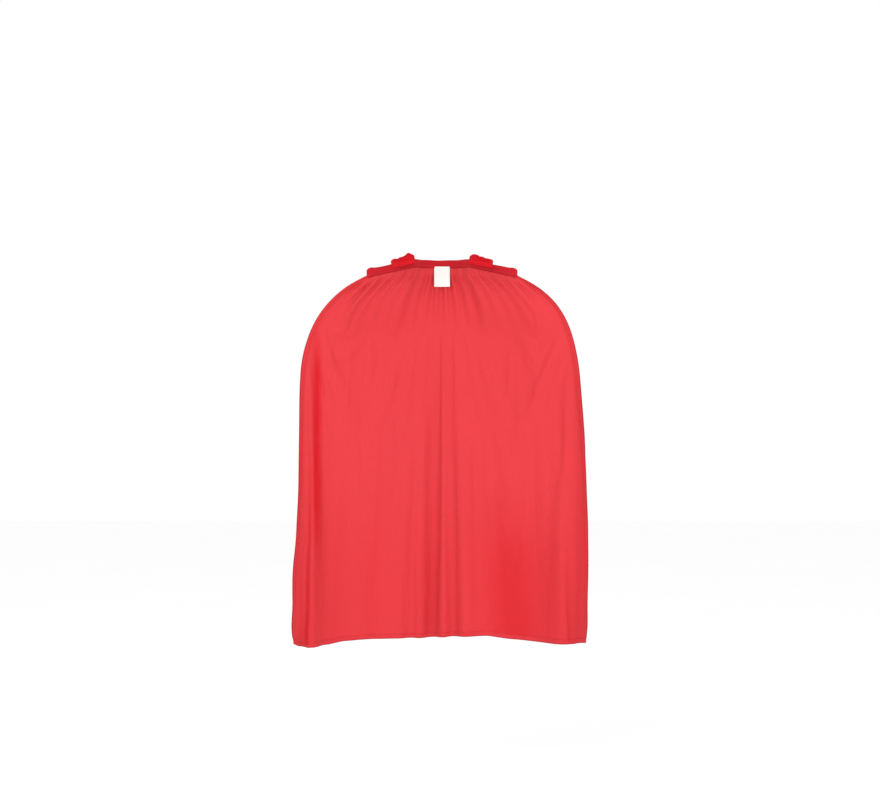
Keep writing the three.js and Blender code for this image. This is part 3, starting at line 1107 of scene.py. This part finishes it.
def sew_neckline():
    """The folded tape along the seam with its two rows of stitches, and the label."""
    height = BINDING_HIGH.z - SEAM_Z
    points, square, even = seam_path(BINDING_SAMPLES)
    length = float(even[-1])
    rings = []
    section = np.array(BINDING_SECTION)
    for i in range(BINDING_SAMPLES):
        along = even[i]
        from_end = min(along, length - along)
        end = math.sqrt(max(0.0, 1 - max(0.0, 1 - (from_end + END_BLUNT) / END_RADIUS) ** 2))
        bulge = 1 + END_BULGE * math.exp(-(((from_end - END_BULGE_PLACE) / END_BULGE_SPREAD) ** 2))
        wave = 0.25 * MM * math.sin(along / (3.4 * MM))
        wave += 0.5 * MM * noise.noise(Vector((along * 30, 0, 4.2)))
        outward = section[:, 0] * BINDING_HALF_THICKNESS * bulge + wave * (1 - section[:, 1]) * 0.8
        ring = points[i] + (outward * end)[:, None] * square[i]
        tall = mix(0.35, section[:, 1], mix(0.55, 1.0, end))
        puff = 1 + 0.02 * math.sin(along / (6.1 * MM)) + 0.45 * (bulge - 1)
        ring[:, 2] += tall * height * puff
        rings.append(ring)
    steps = np.linalg.norm(np.diff(section * (BINDING_HALF_THICKNESS, height), axis=0), axis=1)
    around = np.hstack([0, steps.cumsum()])
    binding = swept("neck_binding_tape", lambda i: rings[i], BINDING_SAMPLES, finish_named("tape"), around)

    def along_seam(side):
        def place(at, arch):
            base = np.stack([np.interp(at, even, points[:, k]) for k in range(3)], axis=-1)
            out = np.stack([np.interp(at, even, square[:, k]) for k in range(3)], axis=-1)
            distance = BINDING_STITCH_OUT * BINDING_HALF_THICKNESS + arch
            base = base + out * (side * distance)[:, None]
            base[:, 2] += 0.5 * MM
            return base
        return place

    lines = []
    for side in (1, -1):
        lines += stitch_line(along_seam(side), length, STITCH, STITCH_GAP, BINDING_STITCH_LIFT)
    stitches = thread("neck_binding_thread", lines, THREAD_RADIUS, finish_named("thread"))
    for piece, node, slot in ((binding, "neck_binding", "binding"),
                              (stitches, "neck_binding_stitching", "thread")):
        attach(piece, YOKE)
        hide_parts(node)
    return [binding, stitches, sew_label()]


LABEL_WIDTH = 28 * MM
LABEL_OFF_CLOTH = 1.4 * MM
LABEL_FLARE = 3.0 * MM


def sew_label():
    """The blank care label: a folded ribbon whose top edge is caught in the seam."""
    low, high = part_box("care_label")
    length = high.z - low.z
    drape = drapes["panel"]
    rows, columns = 22, 14
    across = np.linspace(-0.5, 0.5, columns + 1)[None, :] * LABEL_WIDTH
    fall = np.linspace(0, 1, rows + 1)[:, None]
    u = np.interp(across, drape.points[0, :, 0], np.linspace(0, 1, drape.columns + 1))
    middle_fall = drape.column_lengths()[:, drape.columns // 2]
    v = np.interp(fall * length, middle_fall, np.linspace(0, 1, drape.rows + 1))
    points = drape.place(u, v, 0.0)
    smooth_y = points[..., 1].min(axis=1, keepdims=True)
    points[..., 0] = across
    flare = LABEL_FLARE * fall**2 * (1 + 2 * across / LABEL_WIDTH)
    points[..., 1] = smooth_y - (LABEL_OFF_CLOTH + flare)
    points[..., 2] = points[..., 2].mean(axis=1, keepdims=True)
    drape = Drape(points)
    lift = (0.25 + 0.35 * np.sin(np.pi * np.clip(fall, 0, 1))) * MM
    near = points + drape.normals * lift[..., None]
    far = points - drape.normals * lift[..., None]
    uv = np.stack(np.broadcast_arrays(across, -fall * length), axis=-1)
    label = shell("care_label_ribbon", near, far, uv, finish_named("label"))
    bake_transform(label)
    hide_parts("care_label")
    return label


# ---------- the shoulder tabs ----------

TAB_WIDTH = 42 * MM
TAB_FLAT_LENGTH = 30 * MM
TAB_CREST_RADIUS = 40 * MM
TAB_CREST_Y = -6 * MM
TAB_TILT = math.radians(18)
TAB_WRAP = math.radians(30)
TAB_MIDDLE_X = 69 * MM
TAB_ARC = TAB_CREST_RADIUS * (TAB_WRAP + TAB_TILT)
TAB_LENGTH = TAB_ARC + TAB_FLAT_LENGTH
TAB_PEAKS = {1: 3.0 * MM, -1: 5.5 * MM}
TAB_FRONT_TURN = 3.2 * MM
TAB_GATHER = 0.8 * MM
TAB_DROOP = 2.6 * MM
TAB_WRINKLE = 0.9 * MM
TAB_EDGE_POWER = 9
TAB_TOP = 1.2 * MM
TAB_UNDER = 3.2 * MM


def tab_line(share):
    """The tab's middle line, from its back edge to its front: y, z and the slope's angle."""
    along = share * TAB_LENGTH
    centre_y = TAB_CREST_Y + TAB_CREST_RADIUS * math.sin(TAB_TILT)
    angle = np.maximum(TAB_WRAP - along / TAB_CREST_RADIUS, -TAB_TILT)
    past = np.maximum(along - TAB_ARC, 0)
    y = centre_y + TAB_CREST_RADIUS * np.sin(angle) - past * math.cos(TAB_TILT)
    z = TAB_CREST_RADIUS * (np.cos(angle) - 1) - past * math.sin(TAB_TILT)
    return y, z, angle


def tab_grid(share, across, lift):
    """Points of a tab in its own frame: lift is measured square to its middle line."""
    share, across, lift = np.broadcast_arrays(share, across, lift)
    y, z, angle = tab_line(share)
    return np.stack([across, y + lift * np.sin(angle), z + lift * np.cos(angle)], axis=-1)


def onto_shoulder(points, side):
    """Turn and move points from a tab's own frame onto the shoulder."""
    slope = side * math.atan(SHOULDER_SLOPE)
    x, y, z = points[..., 0], points[..., 1], points[..., 2]
    turned = np.stack([
        x * math.cos(slope) + z * math.sin(slope) + side * TAB_MIDDLE_X,
        y,
        z * math.cos(slope) - x * math.sin(slope) - SHOULDER_SLOPE * (TAB_MIDDLE_X - NECK_HALF_WIDTH),
    ], axis=-1)
    return turned


def tab_layer(name, side, low, high, material, crown=0.0, drop=0.0, inset=0.0, tuck=0.0, peak=0.0):
    """One layer of a tab. crown puffs it up, drop curls its edges down over the layers beneath,
    tuck is how far its back end runs on into the binding, and peak is how far its gathers stand
    up beside the neck."""
    rows, columns = 50, 38
    share = np.linspace((inset - tuck) / TAB_LENGTH, 1 - inset / TAB_LENGTH, rows + 1)[:, None]
    unit = np.linspace(-1, 1, columns + 1)[None, :]
    across = unit * (TAB_WIDTH / 2 - inset)
    side_edge = np.abs(unit) ** TAB_EDGE_POWER
    front_edge = smooth(1 - TAB_FRONT_TURN / TAB_LENGTH, 1.0, share)
    curl = np.maximum(side_edge, front_edge)
    neckward = unit * side
    shape = crown * (1 - unit**6) * (1 - front_edge) - drop * curl
    if crown > 0:
        lean = share * 2.2
        pleats = np.cos(unit * 8.0 - lean * side + side) + 0.5 * np.cos(unit * 15.0 + 2.0 - lean * side)
        shape = shape + TAB_GATHER * pleats * smooth(0.85, 0.15, share) * (1 - side_edge)
        over_crest = smooth(0.10, 0.45, share) * smooth(1.0, 0.62, share)
        ridge = np.exp(-(((neckward - 0.50) / 0.26) ** 2)) + 0.25 * smooth(0.6, 1.0, neckward)
        shape = shape + peak * ridge * over_crest
        droop = TAB_DROOP * (1 - unit**2) * front_edge
        wrinkles = [
            0.7 * noise.noise(Vector((a * 70 + peak * 900, b * 5, 2.0 + side)))
            + 0.6 * noise.noise(Vector((a * 130 + b * 9, b * 17 - a * 60, 7.0 + side)))
            for b in share.ravel().tolist()
            for a in across.ravel().tolist()
        ]
        wrinkles = np.array(wrinkles).reshape(rows + 1, columns + 1)
        shape = shape - droop + TAB_WRINKLE * wrinkles
    near = onto_shoulder(tab_grid(share, -across, low + shape), side)
    far = onto_shoulder(tab_grid(share, -across, high + shape), side)
    uv = np.stack(np.broadcast_arrays(across, -share * TAB_LENGTH), axis=-1)
    return shell(name, near, far, uv, material)


HOOK_ROWS = 11
HOOK_COLUMNS = 16
HOOK_PITCH = 2.0 * MM
HOOK_HALF_THICKNESS = 0.16 * MM
HOOK_TIP_SIZE = 0.7
HOOK_TAPE_GAP = 0.3 * MM
HOOK_TAPE_THICKNESS = 0.7 * MM


def hook_tape(name, side, under):
    """The hook side of the fastening: a woven strip with rows of small bent hooks."""
    width, length, corner = 34 * MM, 24 * MM, 2 * MM
    middle = 1 - (TAB_FLAT_LENGTH / 2) / TAB_LENGTH
    y0, z0, angle = (float(value) for value in tab_line(np.array(middle)))

    def place(a, b, lift):
        a, b, lift = np.broadcast_arrays(np.asarray(a, float), b, lift)
        y = y0 + b * math.cos(angle) + lift * math.sin(angle)
        z = z0 - b * math.sin(angle) + lift * math.cos(angle)
        return onto_shoulder(np.stack([a, y, z], axis=-1), side)

    outline = []
    for sx, sy, start in ((1, -1, -90), (1, 1, 0), (-1, 1, 90), (-1, -1, 180)):
        for step in range(6):
            turn = math.radians(start + 18 * step)
            outline.append((sx * (width / 2 - corner) + corner * math.cos(turn),
                            sy * (length / 2 - corner) + corner * math.sin(turn)))
    a, b = np.array(outline).T
    top = -under - HOOK_TAPE_GAP
    bottom = top - HOOK_TAPE_THICKNESS
    levels = ((top, 0.97), (top - 0.15 * MM, 1.0), (bottom + 0.15 * MM, 1.0), (bottom, 0.97))
    vertices = [place(a * size, b * size, lift) for lift, size in levels]
    sides = len(outline)
    faces = []
    for level in range(3):
        for k in range(sides):
            n = (k + 1) % sides
            here, below = level * sides, (level + 1) * sides
            faces.append((here + k, here + n, below + n, below + k))
    faces.append(tuple(reversed(range(sides))))
    faces.append(tuple(3 * sides + k for k in range(sides)))
    vertices = list(np.vstack(vertices))
    bend = np.radians(np.linspace(0, 200, 6))
    for row in range(HOOK_ROWS):
        for column in range(HOOK_COLUMNS):
            spot_a = (column - (HOOK_COLUMNS - 1) / 2) * HOOK_PITCH
            spot_b = (row - (HOOK_ROWS - 1) / 2) * HOOK_PITCH
            lean = 1 if row % 2 else -1
            stalk = np.array([0.0, 0.35, *(0.55 + 0.28 * np.sin(bend[1:]))]) * MM
            reach = np.array([0.0, 0.0, *(0.28 * (1 - np.cos(bend[1:])))]) * MM * lean
            middle_line = place(spot_a, spot_b + reach, bottom - stalk)
            start = len(vertices)
            for point_index, point in enumerate(middle_line):
                is_tip = point_index == len(middle_line) - 1
                size = HOOK_HALF_THICKNESS * (HOOK_TIP_SIZE if is_tip else 1.0)
                for da, db in ((size, size), (-size, size), (-size, -size), (size, -size)):
                    vertices.append(point + place(da, db, 0.0) - place(0.0, 0.0, 0.0))
            for i in range(len(middle_line) - 1):
                for k in range(4):
                    p, q = start + 4 * i + k, start + 4 * i + (k + 1) % 4
                    faces.append((p, q, q + 4, p + 4))
            last = start + 4 * (len(middle_line) - 1)
            faces.append((start + 3, start + 2, start + 1, start))
            faces.append((last, last + 1, last + 2, last + 3))
    return new_object(name, vertices, faces, finish_named("hooks"))


BOX_INSET = 3.8 * MM
BOX_BACK_INSET = 1.5 * MM
BOX_STITCH = 2.4 * MM
BOX_STITCH_GAP = 0.6 * MM
BOX_UNDER = 1.15 * MM


def box_stitches(side, top, under):
    """Threads round the stiff front of a tab, above and below it."""
    half_a = TAB_WIDTH / 2 - BOX_INSET
    low_b, high_b = BOX_INSET, TAB_FLAT_LENGTH - BOX_BACK_INSET
    corners = [(-half_a, low_b), (half_a, low_b), (half_a, high_b), (-half_a, high_b), (-half_a, low_b)]
    lines = []
    for (a0, b0), (a1, b1) in zip(corners, corners[1:]):
        run = math.hypot(a1 - a0, b1 - b0)

        def place(at, arch, a0=a0, b0=b0, a1=a1, b1=b1, run=run):
            a = a0 + (a1 - a0) * at / run
            b = b0 + (b1 - b0) * at / run
            return onto_shoulder(tab_grid(1 - b / TAB_LENGTH, a, arch), side)

        for lift in (top, -under - BOX_UNDER):
            lines += stitch_line(place, run, BOX_STITCH, BOX_STITCH_GAP, lift)
    return lines


def sew_tab(name, side):
    """One shoulder tab: outer cloth, stiffener, lining, hook tape and its box of stitches."""
    body = f"{name}_tab"
    layers = (
        (f"{name}_shoulder_tab", f"{name}_tab_cloth", "tab", "polyester",
         {"low": -0.6 * MM, "high": 0.5 * MM, "crown": 1.1 * MM, "drop": 2.1 * MM,
          "tuck": 3.5 * MM, "peak": TAB_PEAKS[side]}),
        (f"{name}_tab_interfacing", f"{name}_tab_felt", "felt", "interfacing",
         {"low": -1.8 * MM, "high": -1.0 * MM, "inset": 3.0 * MM}),
        (f"{name}_tab_lining", f"{name}_tab_under_cloth", "lining", "lining",
         {"low": -3.1 * MM, "high": -2.3 * MM, "inset": 0.7 * MM, "tuck": 4.0 * MM}),
    )
    (joint,) = (j for j in frame["joints"] if j["child"] == body)
    hinge = Vector(joint["pos_m"])
    pieces = []
    for node, piece_name, finish_kind, slot, shape in layers:
        layer = tab_layer(piece_name, side, material=finish_named(finish_kind), **shape)
        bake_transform(layer)
        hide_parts(node)
        pieces.append(layer)
    tape = hook_tape(f"{name}_hook_strip", side, TAB_UNDER)
    stitches = thread(f"{name}_tab_thread", box_stitches(side, TAB_TOP, TAB_UNDER), THREAD_RADIUS,
                      finish_named("thread"))
    for piece, node, slot in ((tape, f"{name}_hook_tape", "hook_tape"),
                              (stitches, f"{name}_tab_stitching", "thread")):
        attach(piece, body)
        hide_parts(node)
        pieces.append(piece)
    return pieces


# ---------- the stage ----------

FLOOR_DROP = 0.934
CAMERA_DISTANCE = 4.0
PICTURE_WIDTH = 1.529
CAMERA_HEIGHT = -0.252
CAMERA_X = -0.0035
SENSOR_WIDTH = 36
FLOOR_HALF_WIDTH = 9
CAPE_MIDDLE = (0, 0.05, -0.33)

# each softbox: name, place, width and height, and power in watts
SOFTBOXES = (
    ("key_softbox", (-1.3, -2.6, 0.9), (1.6, 1.6), 27),
    ("fill_softbox", (1.7, -2.4, 0.1), (1.4, 1.4), 21),
)


def area_light(name, location, target, size, power):
    """A rectangular light that faces target."""
    light = bpy.data.lights.new(name, "AREA")
    light.energy = power
    light.shape = "RECTANGLE"
    light.size, light.size_y = size
    lamp = bpy.data.objects.new(name, light)
    lamp.location = location
    lamp.rotation_euler = (Vector(target) - Vector(location)).to_track_quat("-Z", "Y").to_euler()
    bpy.context.scene.collection.objects.link(lamp)


def set_stage(scene):
    """The paper floor, the white surroundings, the two softboxes and the camera."""
    corners = [(x * FLOOR_HALF_WIDTH, y * FLOOR_HALF_WIDTH, -FLOOR_DROP)
               for x, y in ((-1, -1), (1, -1), (1, 1), (-1, 1))]
    floor = new_object("studio_floor", corners, [(0, 1, 2, 3)], studio_paper("pale studio floor"))
    world = bpy.data.worlds.new("pale studio")
    world.use_nodes = True
    world.node_tree.nodes["Background"].inputs["Color"].default_value = (1, 1, 1, 1)
    world.node_tree.nodes["Background"].inputs["Strength"].default_value = 1.0
    scene.world = world
    for name, place, size, power in SOFTBOXES:
        area_light(name, place, CAPE_MIDDLE, size, power)
    scene.view_settings.view_transform = "Standard"
    camera_data = bpy.data.cameras.new("front_camera")
    camera_data.sensor_width = SENSOR_WIDTH
    camera_data.lens = SENSOR_WIDTH * CAMERA_DISTANCE / PICTURE_WIDTH
    camera = bpy.data.objects.new("front_camera", camera_data)
    camera.location = (CAMERA_X, -CAMERA_DISTANCE, CAMERA_HEIGHT)
    camera.rotation_euler = (math.pi / 2, 0, 0)
    scene.collection.objects.link(camera)
    scene.camera = camera


# ---------- operators and panel ----------


class CAPE_OT_stage(bpy.types.Operator):
    """Set up the floor, the light and the camera"""

    bl_idname = "cape.stage"
    bl_label = "Stage"

    def execute(self, context):
        set_stage(context.scene)
        return {"FINISHED"}


class CAPE_OT_cloth(bpy.types.Operator):
    """Cut, gather and hang the cape's cloth, then sew its hems"""

    bl_idname = "cape.cloth"
    bl_label = "Cloth and hems"

    def execute(self, context):
        panel = sew_panel(context.scene)
        hems = sew_hems(context.scene)
        return {"FINISHED"}


class CAPE_OT_neckline(bpy.types.Operator):
    """Bind the gathered neckline and sew in the blank care label"""

    bl_idname = "cape.neckline"
    bl_label = "Neckline"

    def execute(self, context):
        sew_neckline()
        return {"FINISHED"}


class CAPE_OT_tabs(bpy.types.Operator):
    """Make both shoulder tabs with their linings, stiffeners and hook tape"""

    bl_idname = "cape.tabs"
    bl_label = "Shoulder tabs"

    def execute(self, context):
        sew_tab("left", 1)
        sew_tab("right", -1)
        return {"FINISHED"}


OPERATORS = (CAPE_OT_stage, CAPE_OT_cloth, CAPE_OT_neckline, CAPE_OT_tabs)


class CAPE_PT_sidebar(bpy.types.Panel):
    """Lists the steps of making the cape"""

    bl_label = "Superhero cape"
    bl_idname = "CAPE_PT_sidebar"
    bl_space_type = "VIEW_3D"
    bl_region_type = "UI"
    bl_category = "Cape"

    def draw(self, context):
        for operator in OPERATORS:
            self.layout.operator(operator.bl_idname)
        for group in (context.scene.cape_sizes, context.scene.cape_colours):
            for name in group.bl_rna.properties.keys():
                if name not in {"rna_type", "name"}:
                    self.layout.prop(group, name)


CLASSES = (CapeSizes, CapeColours, *OPERATORS, CAPE_PT_sidebar)


def register():
    for item in CLASSES:
        bpy.utils.register_class(item)
    bpy.types.Scene.cape_sizes = PointerProperty(type=CapeSizes)
    bpy.types.Scene.cape_colours = PointerProperty(type=CapeColours)


def unregister():
    del bpy.types.Scene.cape_colours
    del bpy.types.Scene.cape_sizes
    for item in reversed(CLASSES):
        bpy.utils.unregister_class(item)


def main():
    register()
    bpy.ops.cape.stage()
    bpy.ops.cape.cloth()
    bpy.ops.cape.neckline()
    bpy.ops.cape.tabs()


if __name__ == "__main__":
    main()
